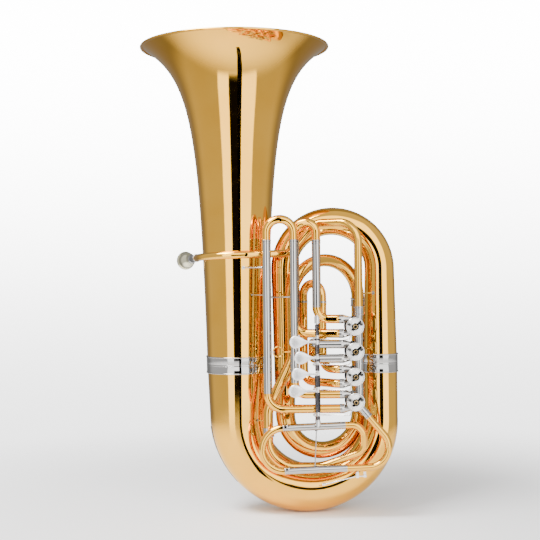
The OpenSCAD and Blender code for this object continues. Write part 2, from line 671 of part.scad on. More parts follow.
// The second valve's tubes turn to the back, and its short slide pulls out that way
slide_2_x = 8;
elbow_2_r = 14;
slide_2_sleeve = 26;
slide_2_neck = 8;
module valve_tubes_2() {
    run = port_x - slide_2_x - elbow_2_r;
    color(nickel) {
        for (s = [-port_dz, port_dz]) translate([port_x, valve_y, valve_z(2) + s]) {
            rotate([0, -90, 0]) pipe(run, tube_d, sleeve_id);
            translate([-run - elbow_2_r, elbow_2_r, 0]) rotate([-90, 0, 0])
                pipe(slide_2_sleeve, tube_d, sleeve_id);
        }
        translate([-run, 0, 0]) port_bends(2, elbow_2_r, 90, tube_d, sleeve_id);
    }
}
module valve_slide_2() {
    slide_y = valve_y + elbow_2_r + slide_2_sleeve + slide_2_neck + 0.5;
    color(brass) translate([slide_2_x, slide_y, valve_z(2)]) rotate([-90, 0, 0]) rotate([0, 0, 90])
        u_slide(port_dz, slide_2_neck, slide_2_sleeve - 1);
}
module valve_tubes_3() {
    top = loop_c_z - 15 - valve_z(3);
    color(brass) {
        port_bends(3, port_bend_r, loop_c_turn, tube_d, sleeve_id);
        loop_plane(3, loop_c_turn) {
            translate([0, 0, port_dz]) up_tube(loop_c_right, tight_bend, top - port_dz, tube_d, sleeve_id);
            translate([0, 0, -port_dz]) up_tube(loop_c_left, tight_bend, top + port_dz, tube_d, sleeve_id);
        }
    }
}
module valve_slide_3() {
    color(brass) loop_plane(3, loop_c_turn) translate([-(loop_c_left + loop_c_right) / 2, 0,
        loop_c_z - valve_z(3)]) u_slide((loop_c_left - loop_c_right) / 2, 14.5, 60);
}
module valve_tubes_4() {
    top = loop_a_z - 20 - valve_z(4);
    color(brass) loop_plane(4, 0) {
        translate([0, 0, port_dz])
            up_tube(port_x - loop_a_right, tight_bend, top - port_dz, tube_d, sleeve_id);
        translate([0, 0, -port_dz])
            up_tube(port_x - loop_a_left, 36, top + port_dz, tube_d, sleeve_id);
    }
}
module valve_slide_4() {
    color(brass) loop_plane(4, 0) translate([(loop_a_left + loop_a_right) / 2 - port_x, 0,
        loop_a_z - valve_z(4)]) u_slide((loop_a_right - loop_a_left) / 2, 19.5, 160);
}

// Ring for the right thumb, on a short stem
module thumb_ring() {
    ring_at = [-73.5, valve_y, 384];
    color(brass) {
        translate(ring_at) rotate([90, 0, 0]) rotate_extrude() translate([11.5, 0]) circle(r = 1.3);
        bar(ring_at + [12, 0, 0], [loop_a_right - tube_d / 2, valve_y, 384], 2);
    }
}
// Water key under the outlet tube: a lever with a cork pad over the drip hole
key_at = [104, valve_y, 99];
module water_key() {
    color(silver) {
        difference() {
            union() {
                translate(key_at) along_y(4, -4, 3);
                bar(key_at, key_at + [17, 0, 0], 1.5);
                bar(key_at, key_at + [-72, 0, -17], 1.3);
                translate(key_at + [-76, 0, -19.4]) cylinder(h = 4.4, r = 5);
            }
            translate(key_at) along_y(6, -6, 1.2 + run_gap);
        }
        translate(key_at + [17, 0, -2]) cylinder(h = 4, r = 4.5);
        translate(key_at + [17, 0, 2]) cylinder(h = 2, r = 3.8);
    }
}
module water_key_saddle() {
    color(silver) {
        translate(key_at) along_y(7, -7, 1.2);
        for (s = [-1, 1]) translate(key_at + [0, s * 5.6, 0]) difference() {
            union() {
                translate([-3, -1, -3]) cube([6, 2, 13.5]);
            }
            along_y(3, -3, 1.2);
        }
        translate(key_at + [17, 0, 4.1]) pipe(6.6, 6.5, 3);
    }
}

bell();
bell_rim();
bell_ferrule();
bottom_bow();
bow_guard();
outer_branch();
branch_ferrule();
top_bow();
inner_branch();
inner_bottom_bow();
inner_right_branch();
inner_top_bow();
riser();
lower_arc();
main_slide_sleeves();
main_slide();
outlet_tube();
leadpipe();
receiver();
mouthpiece();
tube_ferrules();
stays();
casing(1);  // casing_1
casing(2);  // casing_2
casing(3);  // casing_3
casing(4);  // casing_4
rotor(1);  // rotor_1
rotor(2);  // rotor_2
rotor(3);  // rotor_3
rotor(4);  // rotor_4
stop_arm(1);  // stop_arm_1
stop_arm(2);  // stop_arm_2
stop_arm(3);  // stop_arm_3
stop_arm(4);  // stop_arm_4
rear_bearings();
rear_caps();
bumpers();
connecting_tubes();
link(1);  // link_1
link(2);  // link_2
link(3);  // link_3
link(4);  // link_4
paddle(1);  // paddle_1
paddle(2);  // paddle_2
paddle(3);  // paddle_3
paddle(4);  // paddle_4
hinge_rod();
hinge_posts();
paddle_springs();
valve_tubes_1();
valve_tubes_2();
valve_tubes_3();
valve_tubes_4();
valve_slide_1();
valve_slide_2();
valve_slide_3();
valve_slide_4();
thumb_ring();
water_key();
water_key_saddle();
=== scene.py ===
import json
import math

import bmesh
import bpy
import numpy as np
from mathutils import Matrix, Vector


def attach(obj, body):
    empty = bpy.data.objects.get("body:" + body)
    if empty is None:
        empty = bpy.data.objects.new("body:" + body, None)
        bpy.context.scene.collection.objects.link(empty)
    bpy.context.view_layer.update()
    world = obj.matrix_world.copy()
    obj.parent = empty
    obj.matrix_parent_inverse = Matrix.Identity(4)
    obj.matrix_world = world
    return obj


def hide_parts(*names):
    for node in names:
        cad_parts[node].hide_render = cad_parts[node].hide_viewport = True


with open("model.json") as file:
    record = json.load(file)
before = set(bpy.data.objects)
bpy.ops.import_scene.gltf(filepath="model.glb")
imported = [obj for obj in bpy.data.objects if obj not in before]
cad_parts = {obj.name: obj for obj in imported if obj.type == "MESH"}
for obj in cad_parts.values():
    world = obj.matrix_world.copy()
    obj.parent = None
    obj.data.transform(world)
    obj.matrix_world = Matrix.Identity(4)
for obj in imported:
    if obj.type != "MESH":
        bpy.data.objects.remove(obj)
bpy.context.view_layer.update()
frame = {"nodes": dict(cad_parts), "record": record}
MM = 0.001
NODES = frame["nodes"]
FRAME = "tuba_frame"
CAMERA_AT = (-0.0900, -2.607, 0.571)
CAMERA_ROLL = math.radians(0.6)
SENSOR_MM = 36
FOCAL_RATIO = 1100 / 540  # focal length over the width of the picture


def vec(*a):
    return np.array(a, float)


def unit(v):
    return v / np.linalg.norm(v)


# ---------------------------------------------------------------- camera
cam_data = bpy.data.cameras.new("camera")
cam = bpy.data.objects.new("camera", cam_data)
bpy.context.scene.collection.objects.link(cam)
cam_data.sensor_width = SENSOR_MM
cam_data.lens = SENSOR_MM * FOCAL_RATIO
cam_data.clip_start, cam_data.clip_end = 0.05, 50
cam.location = CAMERA_AT
cam.rotation_euler = (math.pi / 2, CAMERA_ROLL, 0)
bpy.context.scene.camera = cam


# ---------------------------------------------------------------- materials
MIX_A, MIX_B, MIX_COLOUR = 6, 7, 2  # colour sockets of a Mix node
DRIFT, SMEAR, WAVE, GRAIN = 9, 60, 35, 900  # noise scales, from broad colour drift to fine grain


class Nodes:
    """Small helper around a node tree."""

    def __init__(self, tree):
        self.tree = tree
        self.tree.nodes.clear()

    def add(self, kind, **props):
        n = self.tree.nodes.new(kind)
        for k, v in props.items():
            setattr(n, k, v)
        return n

    def link(self, a, b):
        self.tree.links.new(a, b)

    def put(self, socket, value):
        if isinstance(value, bpy.types.NodeSocket):
            self.link(value, socket)
        else:
            socket.default_value = value

    def math(self, op, *args):
        n = self.add("ShaderNodeMath", operation=op)
        for i, a in enumerate(args):
            self.put(n.inputs[i], a)
        return n.outputs[0]

    def ramp(self, value, lo, hi, a=0.0, b=1.0, smooth=True):
        n = self.add("ShaderNodeMapRange", interpolation_type="SMOOTHSTEP" if smooth else "LINEAR")
        for i, x in enumerate((value, lo, hi, a, b)):
            self.put(n.inputs[i], x)
        return n.outputs[0]

    def mix(self, factor, a, b):
        n = self.add("ShaderNodeMix", data_type="RGBA")
        self.put(n.inputs[0], factor)
        self.put(n.inputs[MIX_A], a)
        self.put(n.inputs[MIX_B], b)
        return n.outputs[MIX_COLOUR]

    def noise(self, coords, scale, detail, rough=0.5):
        n = self.add("ShaderNodeTexNoise")
        self.link(coords, n.inputs["Vector"])
        n.inputs["Scale"].default_value = scale
        n.inputs["Detail"].default_value = detail
        n.inputs["Roughness"].default_value = rough
        return n.outputs[0]


def metal(name, low, high, rough, grain, coat=0.0, wave=0.0, metallic=1.0):
    """Polished surface: its colour drifts from low to high and its roughness over rough, with faint waves."""
    m = bpy.data.materials.new(name)
    m.use_nodes = True
    n = Nodes(m.node_tree)
    out = n.add("ShaderNodeOutputMaterial")
    b = n.add("ShaderNodeBsdfPrincipled")
    n.link(b.outputs[0], out.inputs[0])
    where = n.add("ShaderNodeTexCoord").outputs["Object"]
    b.inputs["Metallic"].default_value = metallic
    drift = n.noise(where, DRIFT, 3)
    n.link(n.mix(n.ramp(drift, 0.3, 0.7), (*low, 1), (*high, 1)), b.inputs["Base Color"])
    smear = n.noise(where, SMEAR, 4, 0.6)
    n.link(n.ramp(smear, 0.35, 0.75, rough[0], rough[1]), b.inputs["Roughness"])
    if coat:
        b.inputs["Coat Weight"].default_value = coat
        b.inputs["Coat Roughness"].default_value = 0.04
        b.inputs["Coat IOR"].default_value = 1.45
    bump = n.add("ShaderNodeBump")
    bump.inputs["Strength"].default_value = 1.0
    bump.inputs["Distance"].default_value = MM
    height = n.math("MULTIPLY", n.noise(where, WAVE, 2), wave)
    fine = n.math("MULTIPLY", n.noise(where, GRAIN, 2), grain)
    n.link(n.math("ADD", height, fine), bump.inputs["Height"])
    n.link(bump.outputs[0], b.inputs["Normal"])
    return m


BRASS = metal("lacquered_brass", (0.90, 0.455, 0.045), (0.95, 0.50, 0.06), (0.03, 0.08), 0.003,
              coat=0.10, wave=0.08)
# darker copy of the lacquered brass: painted shade on the tubes that sit deep inside the wraps (inner bows,
# inner branches, riser)
SHADED_BRASS = metal("shaded_brass", (0.72, 0.37, 0.045), (0.80, 0.42, 0.055), (0.03, 0.09), 0.003,
             coat=0.10, wave=0.08)
INSIDE = metal("unpolished_brass", (0.84, 0.43, 0.05), (0.90, 0.48, 0.06), (0.30, 0.38), 0.003,
               wave=0.05, metallic=0.82)
NICKEL = metal("nickel_silver", (0.44, 0.425, 0.41), (0.50, 0.485, 0.47), (0.02, 0.06), 0.003,
               coat=0.05, wave=0.04)
SILVER = metal("silver_plate", (0.90, 0.88, 0.85), (0.95, 0.94, 0.92), (0.05, 0.12), 0.003, wave=0.05)
SATIN = metal("satin_silver", (0.90, 0.885, 0.87), (0.95, 0.94, 0.93), (0.34, 0.44), 0.01, wave=0.05)
GILT = metal("gilt_silver", (0.80, 0.74, 0.50), (0.88, 0.83, 0.60), (0.06, 0.14), 0.003, wave=0.06)
PLAIN = metal("plain_brass", (0.66, 0.45, 0.20), (0.74, 0.52, 0.24), (0.22, 0.38), 0.02, wave=0.05)
STEEL = metal("spring_steel", (0.05, 0.05, 0.055), (0.09, 0.08, 0.08), (0.25, 0.4), 0.02, wave=0.02)
RUBBER = metal("bumper_rubber", (0.012, 0.011, 0.010), (0.03, 0.027, 0.024), (0.55, 0.75), 0.05,
               metallic=0.0)
BY_SLOT = {"lacquered_brass": BRASS, "nickel_silver": NICKEL, "silver_plate": SILVER,
           "plain_brass": PLAIN, "spring_steel": STEEL, "bumper_rubber": RUBBER}


# ---------------------------------------------------------------- mesh helpers
ARC_STEP = 4  # degrees between the points of a bend
LEAD = 10  # straight run at each end of a half circle


class Shape:
    """Collects vertices (mm) and faces, each with its material, and makes the piece."""

    def __init__(self):
        self.v, self.f, self.m, self.mats = [], [], [], []

    def add(self, verts, faces, mat):
        if mat not in self.mats:
            self.mats.append(mat)
        base = len(self.v)
        self.v.extend([tuple(p) for p in verts])
        self.f.extend([tuple(base + i for i in q) for q in faces])
        self.m.extend([self.mats.index(mat)] * len(faces))
        return self

    def make(self, name, body, slot, nodes=(), angle=35):
        mesh = bpy.data.meshes.new(name)
        mesh.from_pydata([(x * MM, y * MM, z * MM) for x, y, z in self.v], [], self.f)
        for m in self.mats:
            mesh.materials.append(m)
        mesh.polygons.foreach_set("material_index", self.m)
        mesh.shade_smooth()
        mesh.update()
        bm = bmesh.new()
        bm.from_mesh(mesh)
        bmesh.ops.recalc_face_normals(bm, faces=bm.faces)
        bm.to_mesh(mesh)
        bm.free()
        mesh.set_sharp_from_angle(angle=math.radians(angle))
        o = bpy.data.objects.new(name, mesh)
        bpy.context.scene.collection.objects.link(o)
        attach(o, body)
        if nodes:
            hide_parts(*nodes)
        return o


def frames(path):
    """Tangents and steady normals along a path."""
    p = np.array(path, float)
    d = np.diff(p, axis=0)
    assert np.all(np.linalg.norm(d, axis=1) > 1e-4), "two points of a path fall together"
    d /= np.linalg.norm(d, axis=1)[:, None]
    t = np.vstack([d[:1], d[:-1] + d[1:], d[-1:]])
    t /= np.linalg.norm(t, axis=1)[:, None]
    ref = vec(0, 1, 0) if abs(t[0][1]) < 0.9 else vec(1, 0, 0)
    n = [unit(np.cross(np.cross(t[0], ref), t[0]))]
    for i in range(1, len(p)):
        n.append(unit(n[-1] - n[-1] @ t[i] * t[i]))
    n = np.array(n)
    return p, t, n, np.cross(t, n)


def skin(path, radii, seg):
    """Rings of points round a path."""
    p, t, n, b = frames(path)
    a = np.arange(seg) * 2 * math.pi / seg
    r = np.broadcast_to(np.asarray(radii, float), (len(p),))
    return [p[i] + r[i] * (np.cos(a)[:, None] * n[i] + np.sin(a)[:, None] * b[i]) for i in range(len(p))]


def grid_faces(rings, seg, offset=0, flip=False):
    f = []
    for i in range(rings - 1):
        for k in range(seg):
            q = (offset + i * seg + k, offset + i * seg + (k + 1) % seg,
                 offset + (i + 1) * seg + (k + 1) % seg, offset + (i + 1) * seg + k)
            f.append(q[::-1] if flip else q)
    return f


def tube(shape, path, outer, inner, mat, seg=48):
    """Hollow tube along a path."""
    path = np.array(path, float)
    outer = np.broadcast_to(np.asarray(outer, float), (len(path),))
    inner = np.broadcast_to(np.asarray(inner, float), (len(path),))
    out, ins = skin(path, outer, seg), skin(path, inner, seg)
    n = len(path)
    verts = [v for ring in out for v in ring] + [v for ring in ins for v in ring]
    f = grid_faces(n, seg) + grid_faces(n, seg, n * seg, True)
    for k in range(seg):
        j = (k + 1) % seg
        f.append((k, n * seg + k, n * seg + j, j))
        e, g = (n - 1) * seg, n * seg + (n - 1) * seg
        f.append((e + k, e + j, g + j, g + k))
    return shape.add(verts, f, mat)


def lathe(shape, origin, axis, profile, mat, seg):
    """Turned piece: profile is [(radius, height)] along the axis, and its last point joins its first."""
    axis = unit(np.array(axis, float))
    ref = vec(1, 0, 0) if abs(axis[0]) < 0.8 else vec(0, 1, 0)
    u = unit(np.cross(axis, ref))
    w = np.cross(axis, u)
    a = np.arange(seg) * 2 * math.pi / seg
    o = np.array(origin, float)
    verts, rows = [], []
    for r, h in profile:
        if r < 1e-6:
            rows.append([len(verts)] * seg)
            verts.append(o + h * axis)
        else:
            rows.append(list(range(len(verts), len(verts) + seg)))
            verts.extend(o + h * axis + r * (np.cos(x) * u + np.sin(x) * w) for x in a)
    f = []
    count = len(rows)
    for i in range(count):
        p, q = rows[i], rows[(i + 1) % count]
        for k in range(seg):
            j = (k + 1) % seg
            ids = [p[k], p[j], q[j], q[k]]
            face = [x for n, x in enumerate(ids) if x not in ids[:n]]
            if len(face) > 2:
                f.append(face)
    return shape.add(verts, f, mat)


def corner(a, b, c, r):
    """Points of a bend of radius r that rounds the corner b between a and c."""
    u, w = unit(a - b), unit(c - b)
    half = math.acos(float(u @ w)) / 2
    turn = math.pi - 2 * half
    mid = b + unit(u + w) * r / math.sin(half)
    e = unit(b + u * r / math.tan(half) - mid)
    n = max(2, math.ceil(math.degrees(turn) / ARC_STEP))
    return [mid + r * (e * math.cos(turn * i / n) - u * math.sin(turn * i / n)) for i in range(n + 1)]


def route(pts, radii):
    """Path through pts, with every corner between the ends rounded by its radius."""
    pts = [np.array(p, float) for p in pts]
    out = [pts[0]]
    for i in range(1, len(pts) - 1):
        out += corner(pts[i - 1], pts[i], pts[i + 1], radii[i - 1])
    return out + [pts[-1]]


def half_circle(a, b, z, up, n=64):
    """Upright bow from (x, y) a to b at height z, opening down where up is 1 and up where it is -1."""
    a, b = vec(*a), vec(*b)
    mid, r, e = (a + b) / 2, np.linalg.norm(b - a) / 2, unit(a - b)
    pts = [vec(a[0], a[1], z - up * LEAD)]
    for i in range(n + 1):
        c, s = math.cos(math.pi * i / n), math.sin(math.pi * i / n)
        pts.append(vec(mid[0] + r * e[0] * c, mid[1] + r * e[1] * c, z + up * r * s))
    return pts + [vec(b[0], b[1], z - up * LEAD)]


def even(path, r0, r1):
    """Radii that change evenly with length from r0 to r1."""
    p = np.array(path, float)
    run = np.concatenate([[0], np.cumsum(np.linalg.norm(np.diff(p, axis=0), axis=1))])
    return r0 + (r1 - r0) * run / run[-1]


def tapered(name, path, r0, r1, node, seg=56, mat=BRASS):
    """Conical brass tube of the fixed body, in the place of one CAD node."""
    s = Shape()
    r = even(path, r0, r1)
    tube(s, path, r, r - WALL, mat, seg)
    return s.make(name, FRAME, "lacquered_brass", (node,))


def ferrule_profile(h, r0, r1, thick, bead=1.2):
    """Ring with a rounded bead at each end and two fine grooves near its middle."""
    half, line, mid = 1.4, 0.15, h / 2
    low = [(r0 + thick + bead * math.sin(math.radians(a)), half - half * math.cos(math.radians(a)))
           for a in range(0, 181, 20)]
    high = [(r1 + thick + bead * math.sin(math.radians(a)), h - half - half * math.cos(math.radians(a)))
            for a in range(0, 181, 20)]
    slope = (r1 - r0) / h
    body = [(r0 + slope * x + thick - d, x) for x, d in (
        (3.0, 0), (3.4, 0), (mid - 2.2, 0), (mid - 2, line), (mid - 1.8, 0), (mid, 0),
        (mid + 1.8, 0), (mid + 2, line), (mid + 2.2, 0), (h - 3.4, 0), (h - 3.0, 0))]
    return [(r0, 0)] + low + body + high + [(r1, h)]


# ---------------------------------------------------------------- bell and bows
# from here to the studio, sizes are in millimetres and heights are measured from the floor
HEIGHT, JOINT_Z, BOW_R, WALL = 1100, 350, 169, 0.8
BELL_END_R, LIP, FLARE = 217.5, 2.5, 130
BELL_BASE_R, BELL_SLOPE, BELL_POWER = 70.5, 0.0102, 1.5
BOW_START, BOW_LOW, BRANCH_LOW, BRANCH_TOP = 66, 55.5, 40, 35
BOW_Z = BOW_R + BOW_LOW
BELL_AXIS = (-BOW_R, 0, 0)
UP = (0, 0, 1)
RING_GAP, RING_THICK = 0.3, 1.2
BELL_SEG = 160
TOP_BOW_Z, LOW_BOW_Z, INNER_TOP_Z = 572, 231, 502  # where the three inner bows begin
INNER_LEFT, INNER_RIGHT, RISER_TOP, RISER_LOW = (-57, 0), (120, 36), (-41, -48), (-98, -75)  # (x, y) of tubes
RISER_END_Z = 195
# outer radii where the parts of the bore meet, from the top bow's inner end to the lower arc
TOP_BOW_END, INNER_END, LOW_BOW_END, RIGHT_END, INNER_BOW_END, RISER_END = 30, 23, 17, 15.5, 14, 11.5


def bell_r(z):
    flare = (FLARE + LIP) / (HEIGHT - z + FLARE)
    return BELL_BASE_R - BELL_SLOPE * (HEIGHT - z) + (BELL_END_R - BELL_BASE_R) * flare ** BELL_POWER


def bow_taper(t):
    return (BOW_START + (BRANCH_LOW - BOW_START) * t
            + (BOW_LOW - (BOW_START + BRANCH_LOW) / 2) * math.sin(math.pi * t))


steps = 90
level = [JOINT_Z + (HEIGHT - LIP - JOINT_Z) * (1 - (1 - i / steps) ** 1.8) for i in range(steps + 1)]
outside = [(bell_r(z), z) for z in level]
inside = [(bell_r(z) - WALL * (1 + 0.5 * i / steps), z) for i, z in enumerate(level)]
bell = lathe(Shape(), BELL_AXIS, UP, outside + inside[::-1], BRASS, BELL_SEG)
bell.mats.append(INSIDE)
bell.m = [1 if len(outside) <= i // BELL_SEG < 2 * len(outside) - 1 else 0 for i in range(len(bell.f))]
bell.make("bell_body", FRAME, "lacquered_brass", ("bell",))

rim_wire, rim_flat = 3, 2.5
rim = [(BELL_END_R + 5 - LIP + rim_wire * math.cos(a),
        HEIGHT - LIP + max(-rim_flat, min(rim_flat, rim_wire * math.sin(a))))
       for a in np.linspace(0, 2 * math.pi, 24, endpoint=False)]
lathe(Shape(), BELL_AXIS, UP, rim, BRASS, BELL_SEG).make(
    "bell_rim_wire", FRAME, "lacquered_brass", ("bell_rim",), 60)
lathe(Shape(), (-BOW_R, 0, JOINT_Z - 20), UP,
      ferrule_profile(40, bell_r(JOINT_Z) + RING_GAP, bell_r(JOINT_Z + 20) + RING_GAP, RING_THICK),
      NICKEL, 128).make("bell_ferrule_ring", FRAME, "nickel_silver", ("bell_ferrule",), 60)

n = 96
bow = [vec(-BOW_R, 0, JOINT_Z)] + [vec(BOW_R * math.cos(math.pi + math.pi * i / n), 0,
       BOW_Z + BOW_R * math.sin(math.pi + math.pi * i / n)) for i in range(n + 1)] + [vec(BOW_R, 0, JOINT_Z)]
r = np.array([bell_r(JOINT_Z)] + [bow_taper(i / n) for i in range(n + 1)] + [BRANCH_LOW])
s = Shape()
tube(s, bow, r, r - WALL, BRASS, 96)
s.make("bottom_bow_tube", FRAME, "lacquered_brass", ("bottom_bow",))
s = Shape()
tube(s, [(BOW_R, 0, JOINT_Z), (BOW_R, 0, TOP_BOW_Z - LEAD)], (BRANCH_LOW, BRANCH_TOP),
     (BRANCH_LOW - WALL, BRANCH_TOP - WALL), BRASS, 80)
s.make("outer_branch_tube", FRAME, "lacquered_brass", ("outer_branch",))
lathe(Shape(), (BOW_R, 0, JOINT_Z - 22), UP,
      ferrule_profile(44, BRANCH_LOW + RING_GAP, BRANCH_LOW + 0.2, RING_THICK), NICKEL, 96).make(
    "branch_ferrule_ring", FRAME, "nickel_silver", ("branch_ferrule",), 60)
tapered("top_bow_tube", half_circle((BOW_R, 0), INNER_LEFT, TOP_BOW_Z, 1), BRANCH_TOP, TOP_BOW_END,
        "top_bow", 80)
# the inner tubes take the darker brass copy, which is painted shade
tapered("inner_branch_tube", [(*INNER_LEFT, TOP_BOW_Z - LEAD), (*INNER_LEFT, LOW_BOW_Z + LEAD)],
        TOP_BOW_END, INNER_END, "inner_branch", 64, SHADED_BRASS)
tapered("inner_bottom_bow_tube", half_circle(INNER_LEFT, INNER_RIGHT, LOW_BOW_Z, -1), INNER_END, LOW_BOW_END,
        "inner_bottom_bow", 56, SHADED_BRASS)
tapered("inner_right_branch_tube", [(*INNER_RIGHT, LOW_BOW_Z + LEAD), (*INNER_RIGHT, INNER_TOP_Z - LEAD)],
        LOW_BOW_END, RIGHT_END, "inner_right_branch", 56, SHADED_BRASS)
tapered("inner_top_bow_tube", half_circle(INNER_RIGHT, RISER_TOP, INNER_TOP_Z, 1), RIGHT_END, INNER_BOW_END,
        "inner_top_bow", 56, SHADED_BRASS)
tapered("riser_tube", route([(*RISER_TOP, INNER_TOP_Z - LEAD), (*RISER_TOP, 362), (*RISER_LOW, 250),
                             (*RISER_LOW, RISER_END_Z)], [50, 50]), INNER_BOW_END, RISER_END,
        "riser", 56, SHADED_BRASS)

# ---------------------------------------------------------------- main tuning slide and outlet
TILT, MAIN_D, MAIN_HALF = 2, 16.6, 49
MAIN_LEG = MAIN_D - 1.4
MAIN_AT = vec(-2.7, -100, 163.6)
MAIN_LEFT, MAIN_RIGHT, MAIN_CROOK, MAIN_LEG_END = -48, 82.5, -60, 60  # along the slide, from its middle
RUN_GAP, LEG_WALL, RING_H = 0.05, 0.6, 11.5
TC, TS = math.cos(math.radians(TILT)), math.sin(math.radians(TILT))
VALVE_X, VALVE_Y, VALVE_1_Z, PITCH = 101, -100, 441.25, 57  # axis of the first valve, distance to the next
LEAD_R = 8.3  # outer radius of the narrowest tubes
OUTLET_TURN, OUTLET_REACH = math.radians(50), 33  # slope of the outlet tube, its start from the fourth valve


def valve_z(k):
    return VALVE_1_Z - PITCH * (k - 1)


def main(x, z):
    """Point of the main slide's tilted plane, from its middle."""
    return MAIN_AT + vec(x * TC - z * TS, 0, x * TS + z * TC)


upper_end, lower_end = main(MAIN_RIGHT, MAIN_HALF), main(MAIN_RIGHT, -MAIN_HALF)
ARC_LOW, ARC_X = 118, 120  # the lower arc's lowest height and its farthest point to the right
tapered("lower_arc_tube", route([(*RISER_LOW, RISER_END_Z), (*RISER_LOW, ARC_LOW), (25, -78, ARC_LOW),
                                 (ARC_X, -93, 154), upper_end + vec(ARC_X - upper_end[0], 0, 1), upper_end],
                                [62, 90, 28, 28]), RISER_END, MAIN_D / 2, "lower_arc")
s = Shape()
for side in (-MAIN_HALF, MAIN_HALF):
    tube(s, [main(MAIN_LEFT, side), main(MAIN_RIGHT, side)], MAIN_D / 2, MAIN_LEG / 2 + RUN_GAP, NICKEL)
s.make("main_slide_sleeves_pair", FRAME, "nickel_silver", ("main_slide_sleeves",))
s = Shape()
tube(s, [main(MAIN_CROOK + MAIN_HALF * math.cos(a), MAIN_HALF * math.sin(a))
     for a in np.linspace(math.pi / 2, 1.5 * math.pi, 49)], MAIN_D / 2, MAIN_LEG / 2 - LEG_WALL, BRASS)
for side in (-MAIN_HALF, MAIN_HALF):
    lathe(s, main(MAIN_CROOK, side), main(0, side) - main(MAIN_CROOK, side),
          [(MAIN_LEG / 2, 0)] + ferrule_profile(RING_H, MAIN_LEG / 2, MAIN_LEG / 2, 0.6, 0.6)[1:-1]
          + [(MAIN_LEG / 2, RING_H)], NICKEL, 48)
    tube(s, [main(MAIN_CROOK, side), main(MAIN_LEG_END, side)], MAIN_LEG / 2, MAIN_LEG / 2 - LEG_WALL, NICKEL)
s.make("main_slide_crook", "main_slide_body", "lacquered_brass", ("main_slide",))

out_dir = vec(math.cos(OUTLET_TURN), 0, -math.sin(OUTLET_TURN))
out_from = vec(VALVE_X, VALVE_Y, valve_z(4)) + OUTLET_REACH * out_dir
slope, fall = math.tan(math.radians(TILT)), math.tan(OUTLET_TURN)
far = (out_from[2] - lower_end[2] + slope * lower_end[0] + fall * out_from[0]) / (slope + fall)
out_corner = (far, VALVE_Y, lower_end[2] + slope * (far - lower_end[0]))
tapered("outlet_tube_bend", route([out_from, out_corner, lower_end], [45]), LEAD_R, LEAD_R, "outlet_tube")

# ---------------------------------------------------------------- leadpipe
WRAP_TURN, WRAP_R = math.radians(19), 93  # the leadpipe's bend round the front of the bell
LEAD_X, LEAD_TOP = 111, 679
blow = vec(-math.sin(WRAP_TURN), math.cos(WRAP_TURN), -0.05)
lead_start = vec(-BOW_R - WRAP_R * math.cos(WRAP_TURN), -WRAP_R * math.sin(WRAP_TURN), 602) + 18 * blow
wrap = vec(-BOW_R - WRAP_R * math.tan(math.radians(45) - WRAP_TURN / 2), -WRAP_R, 605)
LEAD_END_R, LEAD_END_Z = 9.6, 466.25
tapered("leadpipe_tube", route([lead_start, wrap, (-138, -WRAP_R, 607), (-98, -77, 608), (-44, -56, 609),
                                (16, -57, LEAD_TOP), (LEAD_X, VALVE_Y, LEAD_TOP),
                                (LEAD_X, VALVE_Y, LEAD_END_Z)],
                               [92, 60, 70, 35, 35, 46]), LEAD_R, LEAD_END_R, "leadpipe")

# ---------------------------------------------------------------- valve tubes and slides
TUBE_R, BORE_R, LEG_R, SLEEVE_R = 10, 8.4, 9, 9.05
PORT_X, PORT_DZ, BEND = 66, 16.5, 16  # ports: where the tubes begin, distance from the valve's middle, side bend
SLIDE_GAP = 0.5  # between a sleeve and the slide's ring


def loop(turn):
    """Returns a function from (distance along a loop's plane, height) to a point."""
    t = math.radians(turn)
    o = vec(PORT_X - BEND * math.sin(t), VALVE_Y + BEND * (1 - math.cos(t)), 0)
    d = vec(-math.cos(t), math.sin(t), 0)
    return lambda along, z: o + along * d + vec(0, 0, z)


def loop_tubes(k, turn, legs, top, radii, mat):
    """Fixed tubes of a valve: from the ports, round the small bends, out and up, with the sleeves above."""
    at = loop(turn)
    s, up = Shape(), Shape()
    for leg, sign, bend_r in zip(legs, (1, -1), radii):
        z = valve_z(k) + sign * PORT_DZ
        path = [vec(PORT_X, VALVE_Y, z)]
        if turn:
            path += [vec(PORT_X - BEND * math.sin(a), VALVE_Y + BEND * (1 - math.cos(a)), z)
                     for a in np.linspace(0, math.radians(turn), 10)[1:]]
        path += [at(leg - bend_r + bend_r * math.sin(a), z + bend_r * (1 - math.cos(a)))
                 for a in np.linspace(0, math.pi / 2, 25)]
        tube(s, path, TUBE_R, SLEEVE_R, BRASS)
        tube(up, [at(leg, z + bend_r), at(leg, top)], TUBE_R, SLEEVE_R, mat)
        lathe(up, at(leg, top - 5), UP, [(TUBE_R, 0), (TUBE_R + 0.5, 0.4), (TUBE_R + 0.5, 4.6), (TUBE_R, 5)],
              mat, 48)
    s.make(f"valve_tubes_{k}_bends", FRAME, "lacquered_brass", (f"valve_tubes_{k}",))
    up.make(f"valve_tubes_{k}_sleeves", FRAME, "nickel_silver" if mat is NICKEL else "lacquered_brass")


def slide(k, turn, legs, z, neck, insert):
    """U-shaped slide of a valve: crook, rings and the two inner legs."""
    at = loop(turn)
    mid, half = sum(legs) / 2, (legs[0] - legs[1]) / 2
    s = Shape()
    tube(s, [at(mid - half, z - neck)] + [at(mid - half * math.cos(a), z + abs(half) * math.sin(a))
         for a in np.linspace(0, math.pi, 49)] + [at(mid + half, z - neck)], TUBE_R, BORE_R, BRASS)
    for leg in legs:
        lathe(s, at(leg, z - neck), UP, [(LEG_R, 0), (TUBE_R + 0.7, 0), (TUBE_R + 0.7, 3.4),
              (TUBE_R + 0.2, 4), (TUBE_R, 4)], NICKEL, 48)
        tube(s, [at(leg, z - neck - insert), at(leg, z - neck)], LEG_R, BORE_R, NICKEL)
    s.make(f"valve_slide_{k}_crook", f"valve_slide_{k}_body", "lacquered_brass", (f"valve_slide_{k}",))


